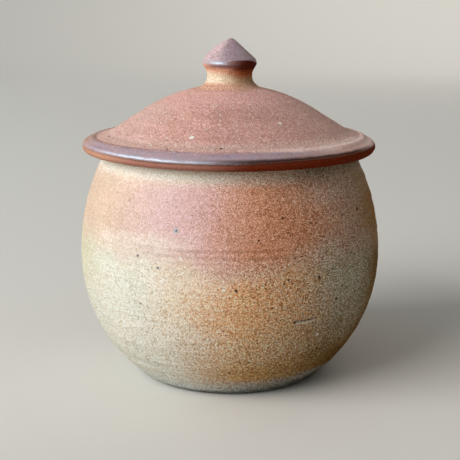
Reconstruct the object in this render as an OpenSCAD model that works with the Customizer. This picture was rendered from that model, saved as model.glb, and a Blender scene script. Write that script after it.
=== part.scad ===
// Salt pot: a thrown stoneware jar with a domed lid that lifts off by its pointed knob.
// The origin is the middle of the underside, +Z is up and sizes are in millimetres.
// Every piece is turned on one upright axis, so each is an outline of [radius, height] points.

/* [Pot] */
// Diameter of the belly, the widest part of the pot
belly_d = 110; // [104:1:116]
// Height of the belly above the table
belly_z = 44.5; // [42:0.5:48]
// Diameter of the foot, as if its edge were sharp
foot_d = 66.8; // [62:0.2:72]
// Diameter of the rim, as if its outer edge were sharp
rim_d = 90; // [88:0.2:92]
// Height of the rim, which carries the lid
rim_z = 82.2; // [79:0.2:85]
// Diameter of the mouth
mouth_d = 80; // [77:0.5:82]
// Depth of the mouth's straight wall, from the rim down
mouth_h = 4; // [3:0.5:6]
// Thickness of the wall at the belly and below it
wall = 5.5; // [4.5:0.1:6.5]
// Height of the floor inside, above the table
floor_z = 7; // [5:0.5:9]
// Rounding of the foot's outer edge
foot_round = 4.8; // [3:0.1:6]
// Rounding of both edges of the rim
rim_round = 1.4; // [0.8:0.1:1.6]
// Rounding inside, between the floor and the wall
floor_round = 10; // [4:0.5:14]
// Width of the flat ring that the pot stands on
foot_ring = 5; // [3:0.5:8]
// Depth of the hollow turned inside that ring
foot_hollow = 1.4; // [0.8:0.1:2]

/* [Lid] */
// Diameter of the brim
lid_d = 105.8; // [102:0.2:110]
// Thickness of the brim's round edge
brim_t = 4.2; // [3.6:0.1:5]
// Diameter of the crease where the dome meets the brim
crease_d = 86.8; // [84:0.2:90]
// Radius of the dome's curve
crown_curve = 59; // [56:0.5:62]
// Height of the dome above the rim of the pot, as if it had no knob
dome_h = 23.3; // [22.5:0.1:24.5]
// Slope of the dome's straight flank, in degrees
flank_slope = 32; // [30:0.5:34]
// Thickness of the dome
dome_t = 5; // [4:0.1:6]
// Depth of the flange that keeps the lid on the mouth
flange_h = 8; // [5:0.5:11]
// Thickness of the flange
flange_t = 4; // [3:0.1:5]
// Gap all round between the flange and the mouth
lid_gap = 1.2; // [0.8:0.1:1.8]

/* [Knob] */
// Diameter of the knob
knob_d = 19.3; // [18.5:0.1:21]
// Diameter of its neck
neck_d = 16.3; // [15:0.1:17.5]
// Radius of the hollow curve of the neck
neck_curve = 4.7; // [4:0.1:6]
// Rounding of the knob's widest edge
knob_round = 2.4; // [1.5:0.1:3]
// Slope of the knob's pointed top, in degrees
knob_slope = 40.5; // [36:0.5:44]
// Rounding of the point
tip_round = 1.1; // [0.6:0.1:1.6]
// Height of the seam under the knob, above the lowest point of the neck's curve
seam_h = 1.5; // [1:0.1:2]

/* [Hidden] */

// Facets of a full turn, and how far an arc's straight steps may leave its true curve
$fn = 180;
arc_error = 0.02;

// Radii of what is turned
belly_r = belly_d / 2;
foot_r = foot_d / 2;
rim_r = rim_d / 2;
mouth_r = mouth_d / 2;
lid_r = lid_d / 2;
crease_r = crease_d / 2;
neck_r = neck_d / 2;
knob_r = knob_d / 2;

// Point at an angle on a circle
function on_circle(centre, radius, angle) = centre + radius * [cos(angle), sin(angle)];

// Points along an arc. One that runs on from the arc before it leaves out its first point
function arc(centre, radius, from, to, runs_on = false) =
    let (step = 2 * acos(1 - arc_error / radius))
    let (steps = ceil(abs(to - from) / step))
    [for (i = [runs_on ? 1 : 0 : steps]) on_circle(centre, radius, from + (to - from) * i / steps)];

// Angle of the way from one point to another
function angle_to(from, to) = atan2(to[1] - from[1], to[0] - from[0]);

// Radius of an arc that is upright at the belly and comes nearer the axis by so much, so far away in height
function swell_radius(nearer, away) = (nearer * nearer + away * away) / (2 * nearer);

// Centre of a rounding that lies inside an arc and touches a level plane
function nook(centre, radius, level, round) =
    let (height = level - sign(level - centre[1]) * round)
    let (away = height - centre[1])
    [centre[0] + sqrt(pow(radius - round, 2) - away * away), height];

// Centre of a circle above another one, at a given radius from the axis and distance from its centre
function above(centre, distance, axis_r) =
    [axis_r, centre[1] + sqrt(distance * distance - pow(axis_r - centre[0], 2))];

// The pot's two swells, below and above the belly
lower_curve = swell_radius(belly_r - foot_r, belly_z);
upper_curve = swell_radius(belly_r - rim_r, rim_z - belly_z);
lower_c = [belly_r - lower_curve, belly_z];
upper_c = [belly_r - upper_curve, belly_z];

// The hollow inside, which narrows above the belly to the straight wall of the mouth
belly_in = belly_r - wall;
shoulder_z = rim_z - mouth_h;
lower_in = lower_curve - wall;
upper_in = swell_radius(belly_in - mouth_r, shoulder_z - belly_z);
upper_in_c = [belly_in - upper_in, belly_z];
shoulder = [mouth_r, shoulder_z];

// Roundings of the pot, and the hollow under it
foot_c = nook(lower_c, lower_curve, 0, foot_round);
floor_c = nook(lower_c, lower_in, floor_z, floor_round);
rim_out_c = nook(upper_c, upper_curve, rim_z, rim_round);
rim_in_c = [mouth_r + rim_round, rim_z - rim_round];
hollow_r = foot_c[0] - foot_ring;
foot_end = angle_to(lower_c, foot_c);
floor_end = angle_to(lower_c, floor_c);
rim_end = angle_to(upper_c, rim_out_c);

pot_outline = concat(
    [[0, foot_hollow], [hollow_r - foot_hollow, foot_hollow], [hollow_r, 0]],
    arc(foot_c, foot_round, -90, foot_end),
    arc(lower_c, lower_curve, foot_end, 0, runs_on = true),
    arc(upper_c, upper_curve, 0, rim_end, runs_on = true),
    arc(rim_out_c, rim_round, rim_end, 90, runs_on = true),
    arc(rim_in_c, rim_round, 90, 180),
    arc(upper_in_c, upper_in, angle_to(upper_in_c, shoulder), 0),
    arc(lower_c, lower_in, 0, floor_end, runs_on = true),
    arc(floor_c, floor_round, floor_end, -90, runs_on = true),
    [[0, floor_z]]
);

// The lid's dome, with its straight flank down to the crease
crown_c = [0, rim_z + dome_h - crown_curve];
crown_in = crown_curve - dome_t;
crown_end = 90 - flank_slope;
flank_top = on_circle(crown_c, crown_curve, crown_end);
crease = [crease_r, flank_top[1] - (crease_r - flank_top[0]) * tan(flank_slope)];

// The brim, which runs straight from the crease until it touches its round edge
brim_round = brim_t / 2;
brim_c = [lid_r - brim_round, rim_z + brim_round];
brim_start = angle_to(brim_c, crease) - acos(brim_round / norm(crease - brim_c));

// The flange inside the mouth
flange_r = mouth_r - lid_gap;
flange_in = flange_r - flange_t;
flange_round = flange_t / 2;
flange_c = [flange_r - flange_round, rim_z - flange_h + flange_round];
flange_top = acos(flange_in / crown_in);

// The neck's hollow curve, which the lid begins and the knob goes on with above the seam
neck_c = above(crown_c, crown_curve + neck_curve, neck_r + neck_curve);
neck_start = 180 + angle_to(crown_c, neck_c);
seam_z = on_circle(neck_c, neck_curve, neck_start)[1] + seam_h;
seam_angle = 180 + asin((neck_c[1] - seam_z) / neck_curve);

lid_outline = concat(
    [[0, seam_z]],
    arc(neck_c, neck_curve, seam_angle, neck_start),
    arc(crown_c, crown_curve, neck_start - 180, crown_end, runs_on = true),
    [crease],
    arc(brim_c, brim_round, brim_start, -90),
    [[flange_r, rim_z]],
    arc(flange_c, flange_round, 0, -180),
    arc(crown_c, crown_in, flange_top, 90)
);

// The knob's widest edge, its straight slope and its point
edge_c = above(neck_c, neck_curve + knob_round, knob_r - knob_round);
neck_end = angle_to(neck_c, edge_c);
slope_angle = 90 - knob_slope;
slope_normal = on_circle([0, 0], 1, slope_angle);
tip_c = [0, (slope_normal * edge_c + knob_round - tip_round) / slope_normal[1]];

knob_outline = concat(
    [[0, seam_z]],
    arc(neck_c, neck_curve, seam_angle, neck_end),
    arc(edge_c, knob_round, neck_end - 180, slope_angle, runs_on = true),
    arc(tip_c, tip_round, slope_angle, 90)
);

// The pot, with its hollow for the salt and its mouth
module pot() {
    color("rosybrown")
        rotate_extrude()
            polygon(pot_outline);
}

// The lid, with its brim on the pot's rim and its flange inside the mouth
module lid() {
    color("indianred")
        rotate_extrude()
            polygon(lid_outline);
}

// The knob, a lump of clay stuck on the middle of the lid
module lid_knob() {
    color("sienna")
        rotate_extrude()
            polygon(knob_outline);
}

pot();
lid();
lid_knob();
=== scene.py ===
import math

import bpy
import numpy as np
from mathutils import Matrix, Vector


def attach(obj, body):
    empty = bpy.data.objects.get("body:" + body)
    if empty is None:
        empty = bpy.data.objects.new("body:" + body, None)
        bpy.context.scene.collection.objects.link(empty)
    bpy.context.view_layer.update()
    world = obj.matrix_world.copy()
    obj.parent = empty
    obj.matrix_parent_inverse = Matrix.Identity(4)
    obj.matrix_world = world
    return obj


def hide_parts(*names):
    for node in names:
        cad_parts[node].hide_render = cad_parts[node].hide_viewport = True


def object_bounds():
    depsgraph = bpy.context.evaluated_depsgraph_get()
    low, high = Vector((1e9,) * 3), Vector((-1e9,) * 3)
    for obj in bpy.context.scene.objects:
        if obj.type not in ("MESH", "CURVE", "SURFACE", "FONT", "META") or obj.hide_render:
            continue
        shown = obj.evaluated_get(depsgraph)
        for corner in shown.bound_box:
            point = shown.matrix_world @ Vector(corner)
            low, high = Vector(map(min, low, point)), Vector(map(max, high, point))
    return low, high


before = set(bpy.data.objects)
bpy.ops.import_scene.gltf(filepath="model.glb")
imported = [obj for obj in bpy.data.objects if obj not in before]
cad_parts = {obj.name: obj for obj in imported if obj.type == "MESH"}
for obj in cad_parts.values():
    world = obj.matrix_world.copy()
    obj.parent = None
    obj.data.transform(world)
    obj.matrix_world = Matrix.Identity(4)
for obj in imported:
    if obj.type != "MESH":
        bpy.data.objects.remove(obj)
cad_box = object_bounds()

# Lengths are in millimetres. The floor, the lamps and the camera are in metres.
# Azimuths run from the front (-Y) towards +X.
MM = 0.001
TURN = 2 * math.pi


# Outlines of the turned nodes

# Decimals to which the points of one ring agree, the least turn at a corner, and points of each stretch
RING_DECIMALS = 1
CORNER = math.radians(40)
STRAIGHT_POINTS = 50
CURVE_POINTS = 12


def outline_of(node):
    """A turned node's outline: [radius, height] points in order, from one end at the axis to the other."""
    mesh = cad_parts[node].data
    points = np.empty(len(mesh.vertices) * 3, np.float32)
    mesh.vertices.foreach_get("co", points)
    points = points.reshape(-1, 3).astype(float) / MM
    turned = np.column_stack([np.hypot(points[:, 0], points[:, 1]), points[:, 2]])
    keys, ring_of = np.unique(np.round(turned, RING_DECIMALS), axis=0, return_inverse=True)
    rings = np.array([turned[ring_of == k].mean(axis=0) for k in range(len(keys))])
    edges = np.empty(len(mesh.edges) * 2, np.int32)
    mesh.edges.foreach_get("vertices", edges)
    links = {k: set() for k in range(len(rings))}
    for a, b in ring_of[edges.reshape(-1, 2)]:
        if a != b:
            links[a].add(b)
            links[b].add(a)
    ends = [k for k in links if len(links[k]) == 1]
    if len(ends) != 2:
        raise ValueError(f"{node} isn't one turned outline")
    walk = [min(ends, key=lambda k: rings[k, 1])]
    while len(walk) < len(rings):
        walk.append(next(k for k in links[walk[-1]] if k not in walk))
    return rings[walk]


def curve_through(points):
    """Close points along a smooth curve through the given ones, which have no corner between them."""
    if len(points) == 2:
        return np.linspace(points[0], points[1], STRAIGHT_POINTS)
    hull = np.vstack([2 * points[0] - points[1], points, 2 * points[-1] - points[-2]])
    knots = np.concatenate([[0], np.cumsum(np.sqrt(np.linalg.norm(np.diff(hull, axis=0), axis=1)))])
    curve = [points[:1]]
    for i in range(1, len(hull) - 2):
        t0, t1, t2, t3 = knots[i - 1:i + 3]
        p0, p1, p2, p3 = hull[i - 1:i + 3]
        t = np.linspace(t1, t2, CURVE_POINTS + 1)[1:, None]
        a1 = (t1 - t) / (t1 - t0) * p0 + (t - t0) / (t1 - t0) * p1
        a2 = (t2 - t) / (t2 - t1) * p1 + (t - t1) / (t2 - t1) * p2
        a3 = (t3 - t) / (t3 - t2) * p2 + (t - t2) / (t3 - t2) * p3
        b1 = (t2 - t) / (t2 - t0) * a1 + (t - t0) / (t2 - t0) * a2
        b2 = (t3 - t) / (t3 - t1) * a2 + (t - t1) / (t3 - t1) * a3
        curve.append((t2 - t) / (t2 - t1) * b1 + (t - t1) / (t2 - t1) * b2)
    return np.vstack(curve)


def even_rows(step):
    """The same step between rows at every height."""
    return lambda height: np.full_like(height, step)


def smooth_outline(points, step_at):
    """The outline curved between its corners, in rows that are step_at(height) apart."""
    ways = np.diff(points, axis=0)
    headings = np.arctan2(ways[:, 1], ways[:, 0])
    turns = np.abs((np.diff(headings) + math.pi) % TURN - math.pi)
    corners = [0, *(np.where(turns > CORNER)[0] + 1), len(points) - 1]
    rows = [points[:1]]
    for start, end in zip(corners[:-1], corners[1:]):
        curve = curve_through(points[start:end + 1])
        lengths = np.linalg.norm(np.diff(curve, axis=0), axis=1)
        middles = (curve[:-1, 1] + curve[1:, 1]) / 2
        counted = np.concatenate([[0], np.cumsum(lengths / step_at(middles))])
        places = np.linspace(0, counted[-1], max(2, round(counted[-1]) + 1))[1:]
        rows.append(np.column_stack([np.interp(places, counted, curve[:, k]) for k in (0, 1)]))
    return np.vstack(rows)


# Relief of the turned skins

RIPPLE_WAVES = 28
RIPPLE_SPREAD = (0.7, 1.3)


def ripple(points, size, seed):
    """Smooth random relief about 0, with a spread of 1 and bumps and hollows of about the given size."""
    draw = np.random.default_rng(seed)
    total = np.zeros(points.shape[:-1])
    for _ in range(RIPPLE_WAVES):
        way = draw.normal(size=3)
        way *= TURN / (size * np.linalg.norm(way)) * draw.uniform(*RIPPLE_SPREAD)
        total += np.cos(points @ way + draw.uniform(0, TURN))
    return total / math.sqrt(RIPPLE_WAVES / 2)


def ripples(points, layers):
    """Random relief in layers, each of a height, a size and a seed."""
    return sum(height * ripple(points, size, seed) for height, size, seed in layers)


def fade(value, start, end):
    """A smooth step, from 0 at start to 1 at end."""
    t = np.clip((value - start) / (end - start), 0, 1)
    return t * t * (3 - 2 * t)


def peak(value, middle, half):
    """A smooth peak, 1 at the middle and 0 from half its width away."""
    return fade(np.abs(value - middle), half, 0)


def throwing_rings(around, along, rings):
    """Ridges left by the fingers, each of a height, a pitch and a number of starts of its spiral."""
    total = np.zeros(np.broadcast(around, along).shape)
    for ridge, pitch, starts in rings:
        total += ridge * np.sin(TURN * along / pitch + starts * around + pitch)
    return total


class Turning:
    """A surface turned from an outline, as a grid of points with a row for each point of the outline."""

    def __init__(self, outline, columns):
        self.outline = outline
        self.columns = columns
        way = np.gradient(outline, axis=0)
        way /= np.linalg.norm(way, axis=1)[:, None]
        area = np.sum(outline[:-1, 0] * np.diff(outline[:, 1]))
        self.normal = np.column_stack([way[:, 1], -way[:, 0]]) * (1 if area > 0 else -1)
        self.inside_out = area < 0
        self.around = (np.arange(columns) * TURN / columns)[None]
        self.radius = outline[:, :1]
        self.height = outline[:, 1:]
        steps = np.linalg.norm(np.diff(outline, axis=0), axis=1)
        self.along = np.concatenate([[0], np.cumsum(steps)])[:, None]
        self.points = self.turned(self.radius, self.height)

    def turned(self, radius, height):
        radius, height = np.broadcast_arrays(radius, height + 0 * self.around)
        return np.stack([radius * np.sin(self.around), -radius * np.cos(self.around), height], axis=-1)

    def raise_by(self, relief):
        """Moves each point along the outline's normal."""
        radius = self.radius + relief * self.normal[:, :1]
        height = self.height + relief * self.normal[:, 1:]
        self.points = self.turned(radius, height)

    def skin(self, name):
        """A closed smooth mesh of the grid, with a point on the axis at both ends."""
        rows, columns = len(self.outline), self.columns
        ends = [[0, 0, self.points[row, :, 2].mean()] for row in (0, -1)]
        points = np.vstack([self.points.reshape(-1, 3), ends]) * MM
        row, column = np.meshgrid(np.arange(rows - 1) * columns, np.arange(columns), indexing="ij")
        beside = (column + 1) % columns
        corners = [row + column, row + beside, row + columns + beside, row + columns + column]
        quads = np.stack(corners, axis=-1)
        first, last = rows * columns, rows * columns + 1
        top = (rows - 1) * columns
        fans = []
        for a in range(columns):
            b = (a + 1) % columns
            fans += [(first, b, a), (last, top + a, top + b)]
        faces = [*quads.reshape(-1, 4).tolist(), *fans]
        if self.inside_out:
            faces = [face[::-1] for face in faces]
        mesh = bpy.data.meshes.new(name)
        mesh.from_pydata(points.tolist(), [], faces)
        mesh.shade_smooth()
        piece = bpy.data.objects.new(name, mesh)
        bpy.context.scene.collection.objects.link(piece)
        return piece


# The pot

POT_COLUMNS = 480
POT_STEP = 0.8
INSIDE_STEP = 2.0

# Ripples: height, size and seed. Rings: ridge, pitch and starts. Fades: where none and where all
POT_RIPPLES = ((0.05, 48, 1), (0.02, 3.2, 4), (0.018, 1.9, 5))
STRENGTH_RIPPLES = ((0.5, 45, 3),)
POT_RINGS = ((0.030, 2.3, 1), (0.025, 3.7, -1), (0.035, 6.1, 1))
SHOULDER_RINGS = ((0.016, 1.9, 1), (0.016, 2.9, -1))
SHOULDER_BELOW = (44, 54)
SHOULDER_ABOVE = (66, 58)
FOOT_RINGS = ((0.05, 1.7, 0), (0.03, 2.6, 0))
FOOT_ABOVE = (13, 8)
INSIDE_RINGS = ((0.16, 7.0, 1), (0.06, 3.1, -1))
INSIDE_BELOW_RIM = (6, 14)
# The wall is sunk a little, so that its ridges don't make the pot wider
WALL_SINK = 0.11
WALL_ABOVE_FOOT = (0.3, 2.5)
WALL_BELOW_RIM = (0.4, 4)

# Faint grooves round the shoulder: height and depth. Their waves: rise, number round the pot and start
GROOVES = ((54.2, 0.021), (49.9, 0.018))
GROOVE_HALF = 0.9
GROOVE_WAVES = ((0.35, 1, 0.9), (0.15, 3, 0))
GROOVE_STEP = 0.35
GROOVE_ROWS = (48.5, 57.5)

# Cut at the front right: azimuth and height of its ends, its profile, and fades along it as shares
MARK_FROM = (23.8, 31.6)
MARK_TO = (32.7, 32.0)
MARK_DEPTH = 0.9
MARK_ABOVE = 0.3
MARK_BELOW = 0.7
MARK_LIP = 0.25
MARK_LIP_HALF = 0.5
MARK_START = (-0.06, 0.06)
MARK_END = (1.08, 0.8)
MARK_STEP = 0.25
MARK_ROWS_BELOW = 1.6
MARK_ROWS_ABOVE = 1.2


def pot_rows(height):
    """Steps between the rows of the outside, closer at the cut and at the grooves."""
    marked = (height > MARK_FROM[1] - MARK_ROWS_BELOW) & (height < MARK_TO[1] + MARK_ROWS_ABOVE)
    grooved = (height > GROOVE_ROWS[0]) & (height < GROOVE_ROWS[1])
    return np.where(marked, MARK_STEP, np.where(grooved, GROOVE_STEP, POT_STEP))


def shoulder_grooves(around, height):
    """Single fine grooves round the pot, which waver a little."""
    waver = sum(rise * np.sin(number * around + start) for rise, number, start in GROOVE_WAVES)
    return sum(-depth * peak(height + waver, level, GROOVE_HALF) for level, depth in GROOVES)


def incised_mark(around, height):
    """A short slanting cut, steep above and sloping below, with a burr along its lower edge."""
    azimuth = np.degrees((around + math.pi) % TURN - math.pi)
    share = (azimuth - MARK_FROM[0]) / (MARK_TO[0] - MARK_FROM[0])
    middle = MARK_FROM[1] + (MARK_TO[1] - MARK_FROM[1]) * share
    above = height - middle
    cut = np.where(above > 0, fade(above, MARK_ABOVE, 0), fade(above, -MARK_BELOW, 0))
    burr = peak(above, -MARK_BELOW, MARK_LIP_HALF)
    return (MARK_LIP * burr - MARK_DEPTH * cut) * fade(share, *MARK_START) * fade(share, *MARK_END)


def make_pot():
    points = outline_of("pot")
    rim = np.argmax(points[:, 1])
    outside = smooth_outline(points[:rim + 1], pot_rows)
    inside = smooth_outline(points[rim:], even_rows(INSIDE_STEP))
    outside[:, 1] = np.maximum(outside[:, 1], 0)
    pot = Turning(np.vstack([outside, inside[1:]]), POT_COLUMNS)
    below_rim = points[rim, 1] - pot.height
    shoulder = fade(pot.height, *SHOULDER_BELOW) * fade(pot.height, *SHOULDER_ABOVE)
    foot = fade(pot.height, *FOOT_ABOVE)
    strength = 1 + ripples(pot.points, STRENGTH_RIPPLES)
    wall = ripples(pot.points, POT_RIPPLES)
    wall = wall + throwing_rings(pot.around, pot.height, POT_RINGS) * strength
    wall = wall + throwing_rings(pot.around, pot.height, SHOULDER_RINGS) * shoulder * strength
    wall = wall + throwing_rings(pot.around, pot.height, FOOT_RINGS) * foot
    wall = (wall - WALL_SINK) * fade(pot.height, *WALL_ABOVE_FOOT) * fade(below_rim, *WALL_BELOW_RIM)
    wall = wall + shoulder_grooves(pot.around, pot.height) * strength + incised_mark(pot.around, pot.height)
    hollow = throwing_rings(pot.around, pot.along, INSIDE_RINGS) * strength
    hollow = hollow * fade(below_rim, *INSIDE_BELOW_RIM)
    is_outside = (np.arange(len(pot.outline)) < len(outside))[:, None]
    pot.raise_by(np.where(is_outside, wall, hollow))
    return pot


# The lid

LID_COLUMNS = 480
LID_STEP = 0.75
LID_RIPPLES = ((0.06, 40, 11), (0.025, 3.4, 12), (0.02, 1.9, 13))
LID_RINGS = ((0.03, 2.7, 1), (0.02, 4.4, -1))
LID_EDGE_ROWS = 6
LID_SEAM_FADE = 3

# Raised lip on the brim: radii where it starts and ends, farther out at the left
LIP_RISE = 0.3
LIP_INNER_NONE = 47.1
LIP_INNER_FULL = 48.1
LIP_OUTER_FULL = 48.5
LIP_OUTER_NONE = 51.0
LIP_LEFT = 1.1
LIP_LEFT_AT = math.radians(-95)
LIP_LEFT_COSINE = 0.4
LIP_STEP = 0.3
LIP_ROWS = (85.8, 88.2)

# The brim wavers, and lies a little to the left
BRIM_FROM = 46.5
BRIM_TO = 52.5
BRIM_WAVE = 0.35
BRIM_HIGH_AT = math.radians(-128)
BRIM_LEFT = 0.35


def lid_rows(height):
    """Steps between the rows, closer at the lip."""
    return np.where((height > LIP_ROWS[0]) & (height < LIP_ROWS[1]), LIP_STEP, LID_STEP)


def make_lid():
    outline = smooth_outline(outline_of("lid"), lid_rows)
    lid = Turning(outline, LID_COLUMNS)
    edge = np.argmax(outline[:, 0])
    outside = fade(np.arange(len(outline)), edge - LID_EDGE_ROWS, edge)[:, None]
    farther = LIP_LEFT * fade(np.cos(lid.around - LIP_LEFT_AT), LIP_LEFT_COSINE, 1)
    lip = LIP_RISE * fade(lid.radius - farther, LIP_INNER_NONE, LIP_INNER_FULL)
    lip = lip * fade(lid.radius, LIP_OUTER_NONE, LIP_OUTER_FULL + farther)
    relief = ripples(lid.points, LID_RIPPLES) + throwing_rings(lid.around, lid.along, LID_RINGS) + lip
    lid.raise_by(relief * outside * fade(lid.along[-1] - lid.along, 0, LID_SEAM_FADE))
    brim = fade(lid.radius, BRIM_FROM, BRIM_TO)
    lid.points[..., 2] += BRIM_WAVE * brim * np.cos(lid.around - BRIM_HIGH_AT)
    lid.points[..., 0] -= BRIM_LEFT * brim
    return lid


# The knob

KNOB_COLUMNS = 180
KNOB_STEP = 0.3
KNOB_RIPPLES = ((0.04, 9, 21), (0.012, 1.2, 22))
KNOB_RINGS = ((0.03, 1.3, 0), (0.02, 2.1, 1))
KNOB_SINK = 0.05
KNOB_SEAM_FADE = 1.5
KNOB_AXIS_FADE = (0.3, 2)
NECK_LINE_Z = 107.0
NECK_LINE_HALF = 0.4
NECK_LINE_DEPTH = 0.08

# The cone is fuller at the left, and the knob leans to the right
FLANK_BELOW = (113.2, 116)
FLANK_ABOVE = (121.8, 118.5)
KNOB_FULL = 0.8
KNOB_FULL_AT = math.radians(-85)
KNOB_LEAN = 0.4
LEAN_FROM = 110
LEAN_TO = 122

# Edge rolled over at the front left, with a groove above it
ROLL_Z = 112.8
ROLL_GROOVE_Z = 114.5
ROLL_HALF = 0.9
ROLL_DEPTH = 0.25
ROLL_AT = math.radians(-30)
ROLL_COSINES = (0.25, 0.85)

# Tip rounded off
TIP_FROM = 121.2
TIP_SOFT = 1.2


def make_knob():
    outline = smooth_outline(outline_of("lid_knob"), even_rows(KNOB_STEP))
    knob = Turning(outline, KNOB_COLUMNS)
    relief = ripples(knob.points, KNOB_RIPPLES) + throwing_rings(knob.around, knob.along, KNOB_RINGS)
    relief = relief - NECK_LINE_DEPTH * peak(knob.height, NECK_LINE_Z, NECK_LINE_HALF)
    relief = (relief - KNOB_SINK) * fade(knob.along, 0, KNOB_SEAM_FADE) * fade(knob.radius, *KNOB_AXIS_FADE)
    flank = fade(knob.height, *FLANK_BELOW) * fade(knob.height, *FLANK_ABOVE)
    relief = relief + KNOB_FULL * flank * fade(np.cos(knob.around - KNOB_FULL_AT), 0, 1)
    roll = peak(knob.height, ROLL_Z, ROLL_HALF) - peak(knob.height, ROLL_GROOVE_Z, ROLL_HALF)
    relief = relief + ROLL_DEPTH * roll * fade(np.cos(knob.around - ROLL_AT), *ROLL_COSINES)
    knob.raise_by(relief)
    knob.points[..., 0] += KNOB_LEAN * fade(knob.height, LEAN_FROM, LEAN_TO)
    above = np.maximum(knob.points[..., 2] - TIP_FROM, 0)
    knob.points[..., 2] += TIP_SOFT * (1 - np.exp(-above / TIP_SOFT)) - above
    return knob


# Numbers and colours that vary over a surface

# Sockets of a mix node that are for colours
MIX_SHARE = 0
MIX_UNDER = 6
MIX_OVER = 7
MIX_RESULT = 2


def plug(tree, value, socket):
    """Gives an input a constant, or links it to what varies."""
    if isinstance(value, Field):
        tree.links.new(value.output, socket)
    elif isinstance(value, bpy.types.NodeSocket):
        tree.links.new(value, socket)
    else:
        socket.default_value = value


def mixed(tree, share, under, over):
    """A colour with as much of another over it as the share says."""
    node = tree.nodes.new("ShaderNodeMix")
    node.data_type = "RGBA"
    plug(tree, share, node.inputs[MIX_SHARE])
    plug(tree, under, node.inputs[MIX_UNDER])
    plug(tree, over, node.inputs[MIX_OVER])
    return node.outputs[MIX_RESULT]


class Field:
    """A number that varies over a surface: an output in a material's node tree, with plain arithmetic."""

    def __init__(self, tree, output):
        self.tree = tree
        self.output = output

    def math(self, operation, *others):
        node = self.tree.nodes.new("ShaderNodeMath")
        node.operation = operation
        for value, socket in zip((self, *others), node.inputs):
            plug(self.tree, value, socket)
        return Field(self.tree, node.outputs[0])

    def __add__(self, other):
        return self.math("ADD", other)

    def __sub__(self, other):
        return self.math("SUBTRACT", other)

    def __mul__(self, other):
        return self.math("MULTIPLY", other)

    def ramp(self, start, end):
        """A smooth step, from 0 at start to 1 at end."""
        node = self.tree.nodes.new("ShaderNodeMapRange")
        node.interpolation_type = "SMOOTHSTEP"
        plug(self.tree, self, node.inputs["Value"])
        plug(self.tree, start, node.inputs["From Min"])
        plug(self.tree, end, node.inputs["From Max"])
        return Field(self.tree, node.outputs["Result"])

    def within(self, middle, full, none):
        """1 up to a distance of full from the middle, and 0 from a distance of none."""
        return (self - middle).math("ABSOLUTE").ramp(none, full)


# Clay in general: how colours wander, how sand tints, and how sharp grains and spots are
WANDER_WIDE = 24
WANDER_CLOSE = 6
CLOSE_SHARE = 0.35
WANDER_MEAN = 0.5 + 0.5 * CLOSE_SHARE
NOISE_SEED_STEP = 7.3
CELL_SEED_STEP = (31.7, 17.3, 7.9)
LINE_STRETCH = (0.04, 0.04, 1)
LINE_DETAIL = 3.0
GRAIN_LEAST = 0.4
GRAIN_SPREAD = 0.6
GRAIN_EDGE = (1.0, 0.7)
SPOT_NOISE = 0.9
SPOT_RAGGED = 0.5
SPOT_NONE = 1.25
SPOT_FULL = 0.7
INWARD = (-0.05, -0.3)
LEVEL = (0.2, 0.5)
LOW_INSIDE = (40, 30)
TINT_WEIGHTS = (0.7, 1.0, 1.35)
TINT_POWER = 2.2
TINT_LEAST = 0.2
PALEST = (0.95, 0.95, 0.92)
CLAY_SPECULAR = 0.008
COAT_IOR = 1.6


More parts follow.
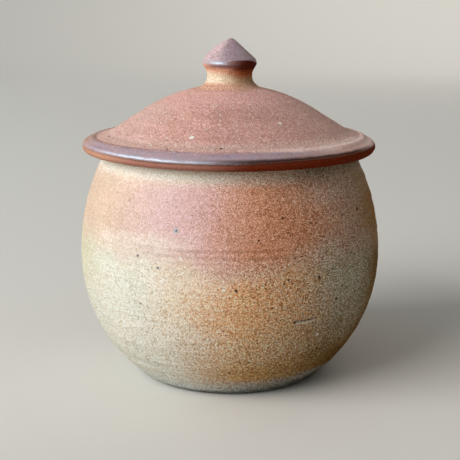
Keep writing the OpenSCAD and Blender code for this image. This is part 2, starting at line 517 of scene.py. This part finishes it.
class Clay:
    """A clay material under way. The colours are laid one over another, each where its mask says."""

    def __init__(self, name, drift):
        self.material = bpy.data.materials.new(name)
        self.material.use_nodes = True
        self.tree = self.material.node_tree
        self.shader = self.tree.nodes["Principled BSDF"]
        place = self.tree.nodes.new("ShaderNodeTexCoord").outputs
        self.at = self.vector("SCALE", place["Object"], Scale=1 / MM)
        self.true_x, self.true_y, self.true_z = self.parts(self.at)
        self.true_radius = (self.true_x * self.true_x + self.true_y * self.true_y).math("SQRT")
        self.normal_x, self.normal_y, self.normal_z = self.parts(place["Normal"])
        wide = self.noise_node(WANDER_WIDE, 1).outputs["Color"]
        close = self.noise_node(WANDER_CLOSE, 2).outputs["Color"]
        wander = self.vector("ADD", wide, self.vector("SCALE", close, Scale=CLOSE_SHARE))
        centred = self.vector("SUBTRACT", wander, (WANDER_MEAN, WANDER_MEAN, WANDER_MEAN))
        drifted = self.vector("ADD", self.at, self.vector("SCALE", centred, Scale=drift))
        self.x, self.y, self.z = self.parts(drifted)
        self.radius = (self.x * self.x + self.y * self.y).math("SQRT")
        self.colour = None

    def vector(self, operation, a, b=None, **scalars):
        node = self.tree.nodes.new("ShaderNodeVectorMath")
        node.operation = operation
        plug(self.tree, a, node.inputs[0])
        if b is not None:
            plug(self.tree, b, node.inputs[1])
        for name, value in scalars.items():
            plug(self.tree, value, node.inputs[name])
        return node.outputs["Value" if operation == "DISTANCE" else "Vector"]

    def parts(self, vector):
        node = self.tree.nodes.new("ShaderNodeSeparateXYZ")
        plug(self.tree, vector, node.inputs[0])
        return [Field(self.tree, output) for output in node.outputs]

    def noise_node(self, size, seed, detail=2.0, at=None):
        node = self.tree.nodes.new("ShaderNodeTexNoise")
        node.noise_dimensions = "4D"
        node.inputs["W"].default_value = NOISE_SEED_STEP * seed
        node.inputs["Scale"].default_value = 1 / size
        node.inputs["Detail"].default_value = detail
        plug(self.tree, at or self.at, node.inputs["Vector"])
        return node

    def noise(self, size, seed, detail=2.0, at=None):
        """Cloudy noise about 0, mostly between -0.5 and 0.5, with patches of about the given size."""
        return Field(self.tree, self.noise_node(size, seed, detail, at).outputs["Fac"]) * 2 - 1

    def lines(self, pitch, seed):
        """Noise drawn out round the axis into level lines."""
        return self.noise(pitch, seed, LINE_DETAIL, self.vector("MULTIPLY", self.at, LINE_STRETCH))

    def cells(self, size, seed):
        """Grains that fill the clay: the distance from a grain's middle, and three random numbers of it."""
        node = self.tree.nodes.new("ShaderNodeTexVoronoi")
        node.inputs["Scale"].default_value = 1 / size
        moved = self.vector("ADD", self.at, tuple(step * seed for step in CELL_SEED_STEP))
        plug(self.tree, moved, node.inputs["Vector"])
        return Field(self.tree, node.outputs["Distance"]), self.parts(node.outputs["Color"])

    def sparse(self, size, seed, share, reach):
        """Masks of scattered round grains: only that share of the cells holds one."""
        distance, (chosen, bigness, _) = self.cells(size, seed)
        grown = (bigness * GRAIN_SPREAD + GRAIN_LEAST) * reach
        return distance.math("DIVIDE", grown).ramp(*GRAIN_EDGE) * chosen.math("LESS_THAN", share)

    def away_from(self, azimuth):
        """Degrees round the axis from the given azimuth, 0 to 180."""
        turn = math.radians(azimuth)
        facing = (self.x * math.sin(turn) - self.y * math.cos(turn)).math("DIVIDE", self.radius)
        return facing.math("ARCCOSINE") * math.degrees(1)

    def near(self, azimuth, none, full):
        """A mask of one side: 1 up to full degrees from the azimuth, and 0 from none degrees."""
        return self.away_from(azimuth).ramp(none, full)

    def hollow(self):
        """A mask of what faces the axis, and of a level floor low inside."""
        outward = self.normal_x * self.true_x + self.normal_y * self.true_y
        outward = outward.math("DIVIDE", self.true_radius)
        floor = self.normal_z.ramp(*LEVEL) * self.true_z.ramp(*LOW_INSIDE)
        return outward.ramp(*INWARD).math("MAXIMUM", floor)

    def spot(self, point, reach):
        """A mask of one round, slightly ragged spot about a point."""
        distance = Field(self.tree, self.vector("DISTANCE", self.at, point))
        ragged = distance + self.noise(SPOT_NOISE, 12) * (SPOT_RAGGED * reach)
        return ragged.ramp(reach * SPOT_NONE, reach * SPOT_FULL)

    def lay(self, colour, mask=None):
        """Lays a colour over what is there, as far as the mask says."""
        if mask is None:
            self.colour = (*colour, 1)
        else:
            self.colour = mixed(self.tree, mask, self.colour, (*colour, 1))

    def shade(self, factor):
        """Multiplies the colour by a number."""
        self.colour = self.vector("SCALE", self.colour, Scale=factor)

    def tint(self, change):
        """Lightens or darkens the colour, its blue most, as sand and the dips between its grains do."""
        node = self.tree.nodes.new("ShaderNodeCombineXYZ")
        for weight, socket in zip(TINT_WEIGHTS, node.inputs):
            share = (change * weight + 1.0).math("MAXIMUM", TINT_LEAST)
            plug(self.tree, share.math("POWER", TINT_POWER), socket)
        tinted = self.vector("MULTIPLY", self.colour, node.outputs[0])
        self.colour = self.vector("MINIMUM", tinted, PALEST)

    def coat(self, weight, roughness):
        """A clear glaze over the clay, as far as the weight says."""
        plug(self.tree, weight, self.shader.inputs["Coat Weight"])
        self.shader.inputs["Coat Roughness"].default_value = roughness
        self.shader.inputs["Coat IOR"].default_value = COAT_IOR

    def finish(self, roughness, height):
        self.shader.inputs["Specular IOR Level"].default_value = CLAY_SPECULAR
        plug(self.tree, self.colour, self.shader.inputs["Base Color"])
        plug(self.tree, roughness, self.shader.inputs["Roughness"])
        bump = self.tree.nodes.new("ShaderNodeBump")
        bump.inputs["Distance"].default_value = MM
        plug(self.tree, height, bump.inputs["Height"])
        plug(self.tree, bump.outputs["Normal"], self.shader.inputs["Normal"])
        plug(self.tree, bump.outputs["Normal"], self.shader.inputs["Coat Normal"])
        return self.material


# Sand in the clay: size and seed of its grains, then the share of cells and the reach of scattered ones

COARSE_GRAINS = (0.32, 1)
FINE_GRAINS = (0.21, 2)
STONES = (0.60, 3, 0.55, 0.44)
PITS = (0.65, 4, 0.40, 0.38)
COARSE_TONE = 0.74
FINE_TONE = 1.03
PIT_TONE = 0.16
SAND_BASE = 1.02
SAND_DIM = 0.05
STONE_WEIGHT = 0.45
STONE_MOST = 0.8
COARSE_ROUND = 0.06
COARSE_LIFT = 0.05
FINE_ROUND = 0.02
STONE_LIFT = 0.14
PIT_DEPTH = 0.12
SAND = (0.97, 0.67, 0.39)
SPOT_WEIGHT = 0.9


def stray(tone):
    """A random number from 0 to 1 made into one from -0.5 to 0.5 that is mostly close to 0."""
    middle = tone - 0.5
    return middle * middle * middle * 4


def grain(clay, contrast):
    """Fine grains of many tones, larger pale stones that stand out, and pits. Gives their height."""
    coarse, (coarse_tone, lift, _) = clay.cells(*COARSE_GRAINS)
    fine, (fine_tone, _, _) = clay.cells(*FINE_GRAINS)
    stones = clay.sparse(*STONES)
    pits = clay.sparse(*PITS)
    tone = stray(coarse_tone) * COARSE_TONE + stray(fine_tone) * FINE_TONE
    clay.shade(contrast * -SAND_DIM + SAND_BASE)
    clay.tint(tone * contrast - pits * PIT_TONE)
    clay.lay(SAND, (stones * contrast * STONE_WEIGHT).math("MINIMUM", STONE_MOST))
    grains = coarse * coarse * -COARSE_ROUND + lift * COARSE_LIFT + fine * fine * -FINE_ROUND
    return grains + stones * STONE_LIFT - pits * PIT_DEPTH


def lay_spots(clay, spots):
    """Single spots on a turned surface: azimuth, radius, height, reach and colour of each."""
    for azimuth, radius, height, reach, colour in spots:
        turn = math.radians(azimuth)
        point = (radius * math.sin(turn), -radius * math.cos(turn), height)
        clay.lay(colour, clay.spot(point, reach) * SPOT_WEIGHT)


# Clay of the pot

ASH = (0.80, 0.81, 0.70)
# Pale ash, partly painted light: lighter low at the left where the lamps light too little
ASH_PALE = (0.85, 0.90, 0.79)
STRAW = (0.67, 0.61, 0.41)
OCHRE = (0.92, 0.515, 0.25)
OCHRE_DEEP = (0.72, 0.35, 0.115)
OCHRE_ROSE = (0.95, 0.45, 0.215)
BISTRE = (0.24, 0.12, 0.03)
PEACH = (0.75, 0.57, 0.44)
PINK = (0.82, 0.575, 0.585)
TERRACOTTA = (0.67, 0.285, 0.155)
TAN = (0.45, 0.24, 0.10)
OLIVE = (0.59, 0.55, 0.365)
UMBER = (0.31, 0.185, 0.085)
RIM_ASH = (0.84, 0.73, 0.60)
RIM_TAN = (0.60, 0.42, 0.27)
# Pale and white ash under the brim, painted lighter as painted light, and a dark colour for a painted
# shadow under the brim at the right
RIM_PALE = (0.97, 0.80, 0.66)
RIM_WHITE = (0.97, 0.97, 0.88)
RIM_PAINTED_SHADOW = (0.16, 0.125, 0.08)
FOOT_GREY = (0.80, 0.87, 0.84)
# Painted shade for the foot's right side, and a painted contact shadow for its bottom edge
FOOT_PAINTED_SHADE = (0.17, 0.13, 0.07)
FOOT_PAINTED_SHADOW = (0.15, 0.14, 0.115)
CREAM = (0.90, 0.79, 0.69)
PATCH = (0.97, 0.80, 0.69)
DUST = (0.97, 0.92, 0.80)
BUFF = (0.60, 0.44, 0.33)
# Painted light on the cut's lower lip, and painted shadow in the cut
MARK_PAINTED_LIGHT = (0.80, 0.70, 0.54)
MARK_PAINTED_SHADOW = (0.05, 0.03, 0.018)
IRON = (0.02, 0.015, 0.012)
SLATE = (0.13, 0.15, 0.18)
SLATE_PALE = (0.47, 0.55, 0.58)
CHALK = (0.95, 0.94, 0.89)

# Single spots: azimuth, height, reach and colour
POT_SPOTS = (
    (-19.2, 62.7, 0.85, SLATE_PALE),
    (-19.0, 62.7, 0.42, SLATE),
    (-33.8, 53.3, 0.48, SLATE),
    (-25.3, 50.2, 0.48, SLATE),
    (-17.0, 54.0, 0.55, CHALK),
    (-2.0, 44.2, 0.52, CHALK),
    (2.2, 44.0, 0.50, IRON),
    (32.5, 46.2, 0.60, IRON),
    (41.0, 37.3, 0.55, IRON),
    (54.7, 38.0, 0.50, IRON),
    (19.2, 66.7, 0.45, IRON),
    (10.0, 60.0, 0.38, IRON),
    (20.3, 46.7, 0.45, IRON),
    (18.7, 45.5, 0.40, IRON),
    (34.8, 25.2, 0.60, CHALK),
    (30.3, 64.2, 0.38, IRON),
    (32.7, 64.0, 0.36, IRON),
    (20.8, 61.9, 0.36, IRON),
    (57.0, 65.4, 0.55, IRON),
    (46.7, 65.1, 0.45, IRON),
    (23.0, 53.6, 0.38, IRON),
    (25.4, 53.9, 0.40, IRON),
    (7.7, 16.8, 0.50, IRON),
    (-32.9, 37.0, 0.40, IRON),
    (-0.2, 11.8, 0.45, IRON),
    (-2.2, 29.7, 0.40, IRON),
)

# Spots along the cut, of painted shadow in it and painted light on its lower lip: where they are, as shares
# of it, and their drop and reach
MARK_SHARES = np.linspace(0.04, 0.96, 15)
MARK_PALE_DROP = 0.85
MARK_PALE_REACH = 0.38
MARK_DARK_DROP = 0.05
MARK_DARK_REACH = 0.40
MARK_HEAD_REACH = 0.65


def mark_spots():
    """Spots along the incised mark: painted shadow in its head and groove, and painted light on its lower
    lip.
    """
    spots = []
    for share in MARK_SHARES:
        azimuth, height = (a + (b - a) * share for a, b in zip(MARK_FROM, MARK_TO))
        spots.append((azimuth, height - MARK_PALE_DROP, MARK_PALE_REACH, MARK_PAINTED_LIGHT))
        spots.append((azimuth, height - MARK_DARK_DROP, MARK_DARK_REACH, MARK_PAINTED_SHADOW))
    return [*spots, (*MARK_FROM, MARK_HEAD_REACH, MARK_PAINTED_SHADOW)]


def lay_belly(clay):
    """Ochre, darker low down and at the right, with olive at the front right and ash at the left, painted
    lighter low down as painted light.
    """
    clay.lay(OCHRE)
    clay.lay(OCHRE_ROSE, clay.near(8, 26, 8) * clay.z.within(39, 6, 13) * 0.8)
    clay.lay(OCHRE_DEEP, clay.near(42, 67, 25) * clay.z.ramp(23, 12))
    clay.lay(UMBER, clay.near(97, 102, 25))
    clay.lay(BISTRE, clay.near(81, 64, 28) * clay.z.ramp(40, 12))
    clay.lay(OLIVE, clay.near(47, 25, 2) * clay.z.within(45, 1, 32) * 0.92)
    clay.lay(OLIVE, clay.near(54, 20, 4) * clay.z.within(51, 2, 12) * 0.2)
    clay.lay(BISTRE, clay.near(92, 32, 12) * clay.z.within(40, 16, 30) * 0.8)
    clay.lay(ASH, clay.near(-75, 84, 38))
    # Pale ash low at the left, partly painted light where the lamps light too little
    clay.lay(ASH_PALE, clay.near(-64, 41, 18) * clay.z.ramp(42, 27))
    clay.lay(STRAW, clay.near(-93, 50, 15) * (clay.z.ramp(30, 48) * 0.5 + 0.2))
    clay.lay(OCHRE_ROSE, clay.near(20, 24, 6) * clay.z.within(42, 5, 16) * 0.45)


def lay_shoulder(clay):
    """Peach above the belly, pink at the front left, terracotta at the front right and tan at the right."""
    high = clay.z + clay.noise(15, 5) * 3 + clay.near(-50, 60, 20) * -4
    high = (high + clay.near(64, 46, 6) * -4).ramp(43, 57)
    clay.lay(PEACH, high)
    clay.lay(TAN, high * clay.near(86, 55, 6))
    clay.lay(PINK, high * clay.near(-15, 43, 2))
    clay.lay(TERRACOTTA, high * clay.near(21, 50, 2))
    clay.lay(CREAM, clay.z.within(57.5, 0.5, 4.5) * clay.near(-38, 28, 10) * 0.6)


def lay_dust(clay):
    """Straw and pale dust low at the left, and a pale patch below the pink."""
    clay.lay(STRAW, clay.near(-28, 42, 15) * clay.z.ramp(24, 12) * 0.1)
    clay.lay(DUST, clay.near(-32, 36, 10) * clay.z.within(25, 3, 8) * 0.35)
    clay.lay(PATCH, clay.near(-18, 20, 5) * clay.z.within(46.5, 1, 6) * 0.35)


def lay_rim(clay):
    """Ash under the brim; pale at the front and white at the left, both painted lighter as painted light
    where the brim shades the pot; tan at the right, with a painted shadow under the brim there.
    """
    under_brim = clay.true_z + clay.noise(9, 6) * 1.5 + clay.near(35, 75, 25) * -1.8
    under_brim = under_brim.ramp(73.0, 80.5) * 0.85
    clay.lay(RIM_ASH, clay.true_z.ramp(67, 73) * clay.near(60, 55, 20) * 0.2)
    clay.lay(RIM_ASH, under_brim)
    # Pale ash at the front, painted lighter as painted light in the brim's shadow
    clay.lay(RIM_PALE, under_brim * clay.true_z.ramp(74.5, 77.5) * clay.near(-2, 36, 12))
    clay.lay(RIM_TAN, under_brim * clay.near(80, 74, 44))
    # White ash at the left, painted lighter as painted light in the brim's shadow
    clay.lay(RIM_WHITE, clay.true_z.ramp(76.3, 79.6) * clay.near(-48, 60, 24) * 0.8)
    # Painted shadow right under the brim at the right
    clay.lay(RIM_PAINTED_SHADOW, clay.true_z.ramp(77.0, 80.5) * clay.near(62, 46, 18) * 0.6)


def lay_foot(clay):
    """Grey ash, with painted shade at the right and a painted contact shadow along the edge where the pot
    stands.
    """
    foot = (clay.true_z + clay.noise(7, 7) * 2).ramp(9.2, 2.6)
    clay.lay(FOOT_GREY, foot)
    # Painted shade on the foot at the right
    clay.lay(FOOT_PAINTED_SHADE, foot * clay.near(76, 104, 30))
    # Painted contact shadow along the bottom edge, deepest at the right
    clay.lay(FOOT_PAINTED_SHADOW, clay.true_z.ramp(4.0, 0.8) * (clay.near(60, 130, 50) * 0.5 + 0.45))


def pot_sand(clay):
    """Sand that shows most at the right and low down, and less on the shoulder and the far right."""
    sandy = clay.away_from(-70).ramp(44, 104)
    dusted = clay.true_z.ramp(48, 22) * (sandy * -1.0 + 1.0)
    contrast = sandy * (clay.true_z.ramp(30, 16) * 0.5 + 1.4) + dusted * 0.45 + 0.5
    far_right = (clay.away_from(100) + clay.true_z.ramp(26, 12) * -22).ramp(46, 18)
    contrast = contrast * (far_right * -0.6 + 1.0)
    smoother = (clay.true_z + clay.near(50, 30, 10) * -8).ramp(42, 56) * -0.33 + 1.0
    clay.shade(smoother * 0.17 + 0.83)
    return grain(clay, contrast * smoother) * smoother


def pot_clay(outline):
    clay = Clay("pot_clay", drift=16)
    lay_belly(clay)
    lay_shoulder(clay)
    lay_dust(clay)
    lay_rim(clay)
    lay_foot(clay)
    clay.lay(BUFF, clay.hollow())
    clay.lay(BUFF, clay.true_z.ramp(81.2, 81.9))
    lines = clay.true_z.within(54, 3, 10) * 0.05 + 0.08
    clay.shade(clay.lines(1.1, 8) * lines + clay.noise(9, 9) * 0.12 + 1.0)
    relief = pot_sand(clay)
    radius, height = outline[:np.argmax(outline[:, 1])].T
    spots = (*POT_SPOTS, *mark_spots())
    lay_spots(clay, [(azimuth, np.interp(z, height, radius), z, *look) for azimuth, z, *look in spots])
    roughness = clay.noise(6, 10) * 0.12 + 0.64
    return clay.finish(roughness, relief)


# Clay of the lid

DUSTY = (0.675, 0.385, 0.335)
DUSTY_DEEP = (0.56, 0.305, 0.265)
DUSTY_TOP = (0.80, 0.455, 0.41)
DUSTY_PALE = (0.80, 0.50, 0.44)
LID_ORANGE = (0.70, 0.41, 0.295)
CREASE_PALE = (0.72, 0.49, 0.43)
# Painted shade for the crease; the mauve's blue is a painted reflection, and the pink is painted lighter as
# painted light
CREASE_PAINTED_SHADE = (0.30, 0.17, 0.14)
BRIM_MAUVE = (0.40, 0.32, 0.39)
BRIM_PINK = (0.95, 0.68, 0.63)
BRIM_ROSE = (0.51, 0.325, 0.275)
BRIM_NEAR_BLACK = (0.045, 0.018, 0.014)
BRIM_ORANGE = (0.60, 0.32, 0.22)
BRIM_RUST = (0.42, 0.19, 0.145)
BRIM_RED = (0.20, 0.03, 0.01)
GRAIN_PALE = (0.88, 0.80, 0.68)
GRAIN_DARK = (0.19, 0.08, 0.03)

# Scattered grains: size, seed, share of cells and reach
LID_PALE_GRAINS = (1.1, 5, 0.34, 0.40)
LID_DARK_GRAINS = (1.7, 6, 0.25, 0.15)

# Single spots: azimuth, radius, height, reach and colour
LID_SPOTS = (
    (-18.5, 39.7, 91.3, 0.80, CHALK),
    (29.7, 33.9, 94.9, 0.65, CHALK),
    (-35.8, 44.6, 88.6, 0.55, CHALK),
    (-51.5, 49.8, 86.8, 0.45, CHALK),
    (9.0, 34.7, 94.4, 0.60, CREASE_PALE),
    (-3.5, 44.5, 88.6, 0.60, IRON),
    (-26.0, 46.3, 88.0, 0.45, IRON),
    (-71.2, 44.7, 88.5, 0.45, IRON),
)


def lay_dome(clay):
    """Dusty red, deeper at the front, paler at both sides and at the crease, and orange round the knob."""
    clay.lay(DUSTY)
    clay.lay(CREASE_PALE, clay.near(-85, 60, 20) * 0.6)
    clay.lay(DUSTY_PALE, clay.near(85, 60, 20))
    clay.lay(DUSTY_DEEP, (clay.noise(26, 3) + clay.near(4, 50, 0) * 0.5).ramp(0.1, 0.6))
    clay.lay(CREASE_PALE, clay.radius.within(44.5, 1, 4) * 0.7)
    clay.lay(DUSTY_TOP, clay.radius.ramp(31, 20) * 0.85)
    clay.lay(LID_ORANGE, clay.radius.ramp(15, 10))


def lay_brim(clay):
    """Mauve with a painted bluish reflection, pink at the right painted lighter as painted light, rose at
    the far left and front right, and painted shade in the crease at the left.
    """
    farther = clay.near(-95, 60, 15) * LIP_LEFT
    brim = (clay.radius - farther).ramp(46.8, 49.2)
    # Mauve, its bluish tint a painted reflection of the sky
    clay.lay(BRIM_MAUVE, brim * (clay.noise(2.5, 4, detail=3.0) * 0.5 + 0.85))
    # Pink on the brim's top at the right, painted lighter as painted light where the lamps light it too
    # little
    clay.lay(BRIM_PINK, brim * clay.near(85, 62, 30))
    clay.lay(BRIM_PINK, clay.radius.within(47.2, 0.8, 2.0) * clay.near(50, 48, 20) * 0.9)
    clay.lay(BRIM_ROSE, brim * clay.near(-98, 38, 14))
    clay.lay(BRIM_ROSE, clay.radius.ramp(48.5, 50.5) * clay.near(42, 32, 12) * 0.6)
    # Painted shade in the crease between dome and brim at the left
    crease = (clay.true_radius - farther).within(47.5, 0.1, 0.6)
    clay.lay(CREASE_PAINTED_SHADE, crease * clay.near(-66, 36, 18) * 0.55)


def lay_nose(clay, level, line):
    """The brim's edge below a wavering line: orange, then rust and red to the right, with a near-black band
    on top and a near-black line along the wavering line.
    """
    edge = clay.true_radius.ramp(45, 46)
    nose = edge * line.ramp(85.4, 84.8)
    clay.lay(BRIM_NEAR_BLACK, edge * level.ramp(86.3, 85.5) * clay.near(30, 50, 22) * 0.95)
    clay.lay(BRIM_ORANGE, nose)
    clay.lay(BRIM_RUST, nose * clay.near(90, 150, 124))
    clay.lay(BRIM_RUST, nose * clay.noise(1.0, 13, detail=3.0).ramp(0.05, 0.35) * 0.45)
    clay.lay(BRIM_RED, nose * clay.near(90, 107, 81))
    clay.lay(BRIM_RUST, nose * clay.near(-80, 30, 10) * 0.35)
    blackness = clay.near(-5, 60, 15) * 0.4 + 0.25
    clay.lay(BRIM_NEAR_BLACK, edge * line.within(85.0, 0.2, 0.6) * blackness)


def lay_underside(clay):
    """Plain clay where the lid rests on the rim, and inside it."""
    seat = clay.true_z.ramp(82.5, 82.2) * clay.true_radius.ramp(50.6, 49.6)
    inside = clay.normal_z.ramp(0.0, -0.3) * clay.true_radius.ramp(46, 45)
    clay.lay(BUFF, seat.math("MAXIMUM", inside))


def lid_clay():
    clay = Clay("lid_clay", drift=5)
    level = clay.true_z + clay.noise(4, 6) * 0.2
    line = level + clay.near(-12, 42, 12) * 0.5
    lay_dome(clay)
    lay_brim(clay)
    lay_nose(clay, level, line)
    lay_underside(clay)
    clay.shade(clay.noise(8, 9) * 0.12 + clay.lines(0.9, 8) * 0.16 + 1.0)
    gloss = clay.true_radius.ramp(46, 51.5)
    lit = clay.near(-24, 40, 10) * line.ramp(84.6, 85.3) * level.ramp(86.8, 86.3)
    clay.coat(clay.true_radius.ramp(50, 51.5) * lit * 0.8, roughness=0.32)
    relief = grain(clay, gloss * -0.36 + 0.5)
    plain = gloss * -1.0 + 1.0
    pale = clay.sparse(*LID_PALE_GRAINS) * plain
    dark = clay.sparse(*LID_DARK_GRAINS) * plain
    clay.lay(GRAIN_PALE, pale * 0.9)
    clay.lay(GRAIN_DARK, dark * 0.5)
    lay_spots(clay, LID_SPOTS)
    roughness = clay.noise(5, 10) * 0.14 + 0.62
    broken = clay.near(4, 30, 12) * 0.6
    return clay.finish(roughness, (relief + pale * 0.10) * (gloss * (broken - 0.65) + 1.0))


# Clay of the knob

KNOB_ROSE = (0.67, 0.49, 0.50)
KNOB_MAUVE = (0.58, 0.45, 0.50)
KNOB_PLUM = (0.42, 0.315, 0.365)
KNOB_EDGE = (0.26, 0.15, 0.15)
# Painted sheen: a bluish reflection beside the gloss
KNOB_PAINTED_SHEEN = (0.36, 0.36, 0.42)
KNOB_DARK = (0.12, 0.022, 0.012)
KNOB_ORANGE = (0.70, 0.38, 0.26)
KNOB_RUST = (0.45, 0.12, 0.04)
NECK_CREAM = (0.82, 0.68, 0.52)
NECK_TAN = (0.52, 0.31, 0.17)

# Scattered grains: size, seed, share of cells and reach
KNOB_PALE_GRAINS = (2.2, 5, 0.25, 0.16)


def lay_neck(clay):
    """Cream with tan at the right, and above it orange with rust and dark red at the right."""
    clay.lay(LID_ORANGE)
    clay.lay(NECK_CREAM, clay.z.ramp(105.8, 107.1))
    clay.lay(NECK_TAN, clay.z.ramp(105.6, 106.8) * clay.near(85, 115, 50))
    clay.lay(KNOB_ORANGE, (clay.z + clay.near(-80, 60, 20) * -0.9).ramp(108.4, 110.8))
    clay.lay(KNOB_RUST, clay.z.ramp(107.4, 109.8) * clay.near(75, 95, 40))
    clay.lay(KNOB_EDGE, clay.z.ramp(111.2, 112.5) * clay.near(0, 72, 30))
    clay.lay(KNOB_DARK, clay.z.ramp(109.6, 111.8) * clay.near(75, 85, 40))


def lay_cone(clay):
    """Mauve above a wavering line, rose at the left and plum at the front, with a painted bluish sheen on
    the edge at the front left.
    """
    lower = clay.near(25, 60, 10) * -1.3 + clay.near(-68, 42, 15) * -0.5
    cone = (clay.z + lower).ramp(112.9, 113.6)
    clay.lay(KNOB_MAUVE, cone)
    clay.lay(KNOB_ROSE, cone * clay.near(-80, 95, 25))
    clay.lay(KNOB_MAUVE, clay.z.within(115.2, 0.6, 1.8) * clay.near(-60, 50, 20) * 0.6)
    clay.lay(KNOB_PLUM, cone * clay.near(6, 50, 8))
    # Painted sheen, a bluish band on the edge at the front left
    clay.lay(KNOB_PAINTED_SHEEN, clay.z.within(113.9, 0.4, 1.2) * clay.near(-42, 42, 20) * 0.5)


def knob_clay():
    clay = Clay("knob_clay", drift=1.6)
    lay_neck(clay)
    lay_cone(clay)
    clay.shade(clay.noise(4, 9) * 0.14 + 1.0)
    gloss = clay.true_z.within(113.4, 0.7, 1.6)
    lit = clay.z.within(113.2, 0.5, 1.0) * clay.near(-30, 42, 14)
    clay.coat(lit * (clay.noise(1.1, 11) * 0.5 + 0.7), roughness=0.2)
    plain = gloss * -0.8 + 1.0
    relief = grain(clay, plain * 0.4)
    pale = clay.sparse(*KNOB_PALE_GRAINS) * plain
    clay.lay(GRAIN_PALE, pale * 0.6)
    roughness = clay.noise(3, 10) * 0.10 + 0.60
    return clay.finish(roughness, relief * (gloss * -0.75 + 1.0))


# Pieces in place of the plain turned solids

turned_pot = make_pot()
pot = turned_pot.skin("pot_skin")
lid = make_lid().skin("lid_skin")
knob = make_knob().skin("knob_skin")

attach(pot, "pot")
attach(lid, "lid")
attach(knob, "lid")
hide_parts("pot")
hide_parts("lid")
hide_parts("lid_knob")

pot.data.materials.append(pot_clay(turned_pot.outline))
lid.data.materials.append(lid_clay())
knob.data.materials.append(knob_clay())


# Floor, which sweeps up into a backdrop. It is pale to the eye, and what it gives back is darker and warm

FLOOR_PALE = (0.76, 0.74, 0.70, 1)
FLOOR_BOUNCE = (0.36, 0.31, 0.25, 1)
FLOOR_ROUGHNESS = 0.9
SWEEP_FRONT = -3.0
SWEEP_BACK = 1.6
SWEEP_BEND = 0.8
SWEEP_TOP = 3.0
SWEEP_HALF = 4.0
SWEEP_POINTS = 25


def seen_or(tree, light, look):
    """The number look for what is seen, also in a gloss, and the number light for what only lights."""
    path = tree.nodes.new("ShaderNodeLightPath")
    seen = Field(tree, path.outputs["Is Camera Ray"])
    for ray in ("Is Glossy Ray", "Is Transmission Ray"):
        seen = seen.math("MAXIMUM", path.outputs[ray])
    return seen * (look - light) + light


def floor_material():
    material = bpy.data.materials.new("floor")
    material.use_nodes = True
    tree = material.node_tree
    colour = mixed(tree, seen_or(tree, 0.0, 1.0), FLOOR_BOUNCE, FLOOR_PALE)
    shader = tree.nodes["Principled BSDF"]
    shader.inputs["Roughness"].default_value = FLOOR_ROUGHNESS
    plug(tree, colour, shader.inputs["Base Color"])
    return material


def make_floor():
    bend = np.radians(np.linspace(0, 90, SWEEP_POINTS))
    side = [(SWEEP_FRONT, 0)]
    side += [(SWEEP_BACK + SWEEP_BEND * math.sin(t), SWEEP_BEND * (1 - math.cos(t))) for t in bend]
    side += [(SWEEP_BACK + SWEEP_BEND, SWEEP_TOP)]
    points = [(x, y, z) for y, z in side for x in (-SWEEP_HALF, SWEEP_HALF)]
    faces = [(2 * i, 2 * i + 1, 2 * i + 3, 2 * i + 2) for i in range(len(side) - 1)]
    mesh = bpy.data.meshes.new("floor")
    mesh.from_pydata(points, [], faces)
    mesh.shade_smooth()
    mesh.materials.append(floor_material())
    floor = bpy.data.objects.new("floor", mesh)
    bpy.context.scene.collection.objects.link(floor)
    return floor


make_floor()


# Light

LAMP_COLOUR = (1.0, 0.98, 0.95)
WINDOW_COLOUR = (0.52, 0.86, 1.0)
WORLD_COLOUR = (1.0, 0.95, 0.88, 1)
WORLD_LIGHT = 0.15
WORLD_PALE = 0.5
middle = (Vector(cad_box[0]) + Vector(cad_box[1])) / 2


def lamp(name, azimuth, elevation, distance, size, power):
    """A rectangular lamp that faces the middle of the pot."""
    data = bpy.data.lights.new(name, "AREA")
    data.shape = "RECTANGLE"
    data.size, data.size_y = size
    data.energy = power
    data.color = LAMP_COLOUR
    holder = bpy.data.objects.new(name, data)
    bpy.context.scene.collection.objects.link(holder)
    turn, rise = math.radians(azimuth), math.radians(elevation)
    level = math.cos(rise)
    towards = Vector((math.sin(turn) * level, -math.cos(turn) * level, math.sin(rise)))
    holder.location = middle + towards * distance
    holder.rotation_euler = (-towards).to_track_quat("-Z", "Y").to_euler()
    return holder


# A large soft lamp from the left, a weak fill, a strip that shows only in the gloss and a weak lamp behind
key = lamp("key", azimuth=-57, elevation=26, distance=2.4, size=(2.0, 1.5), power=68)
fill = lamp("fill", azimuth=70, elevation=62, distance=2.2, size=(1.5, 1.5), power=2.5)
window = lamp("window", azimuth=-70, elevation=40, distance=2.4, size=(6.8, 0.9), power=350)
back = lamp("back", azimuth=165, elevation=15, distance=2.2, size=(1.6, 1.2), power=10)
for soft in (key, fill, back):
    soft.visible_glossy = False
window.visible_diffuse = False
window.data.color = WINDOW_COLOUR

# The surround lights little but looks pale
world = bpy.data.worlds.new("world")
world.use_nodes = True
surround = world.node_tree.nodes["Background"]
surround.inputs["Color"].default_value = WORLD_COLOUR
plug(world.node_tree, seen_or(world.node_tree, WORLD_LIGHT, WORLD_PALE), surround.inputs["Strength"])
bpy.context.scene.world = world
bpy.context.scene.view_settings.view_transform = "Standard"


# Camera, at the photo's place

FRAME_PIXELS = 460
FOCAL_PIXELS = 1000
SENSOR = 36
CAMERA_AT = (0.0001, -0.3634, 0.1339)
CAMERA_DOWN = math.radians(12.75)

camera_data = bpy.data.cameras.new("camera")
camera_data.sensor_width = SENSOR
camera_data.lens = FOCAL_PIXELS / FRAME_PIXELS * SENSOR
camera = bpy.data.objects.new("camera", camera_data)
bpy.context.scene.collection.objects.link(camera)
camera.location = CAMERA_AT
camera.rotation_euler = (math.radians(90) - CAMERA_DOWN, 0, 0)
bpy.context.scene.camera = camera
